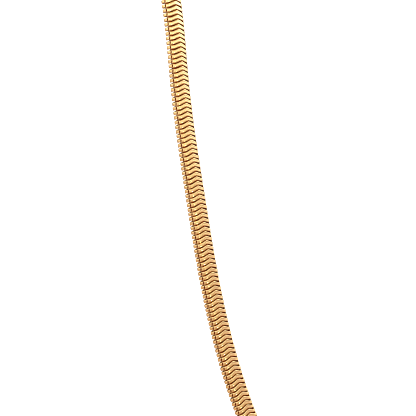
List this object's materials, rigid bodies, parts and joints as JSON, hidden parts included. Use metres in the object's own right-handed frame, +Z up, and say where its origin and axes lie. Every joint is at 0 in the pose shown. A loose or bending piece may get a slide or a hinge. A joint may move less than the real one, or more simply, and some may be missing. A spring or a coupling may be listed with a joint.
{
  "type": "herringbone chain necklace",
  "caption": "Gold herringbone chain necklace, held as worn: a flat, crowned chain of nested wave-bent plates with end caps, a jump ring, a catch ring and a claw clasp at the nape.",
  "frame": {"origin": "the nape, in the middle of the closure between the two end caps", "axes": "+Z up, -Y towards the throat, +X towards the wearer's left"},
  "size_m": [0.1136, 0.1035, 0.1449],
  "materials": {
    "chain_gold": "polished gold, bright on the crowns, dark in the gaps between links",
    "fitting_gold": "polished gold"
  },
  "bodies": {
    "root": {"chain": "chain_gold", "end_cap_left": "fitting_gold", "end_cap_right": "fitting_gold", "jump_ring": "fitting_gold", "catch_ring": "fitting_gold", "clasp": "fitting_gold"}
  },
  "joints": []
}
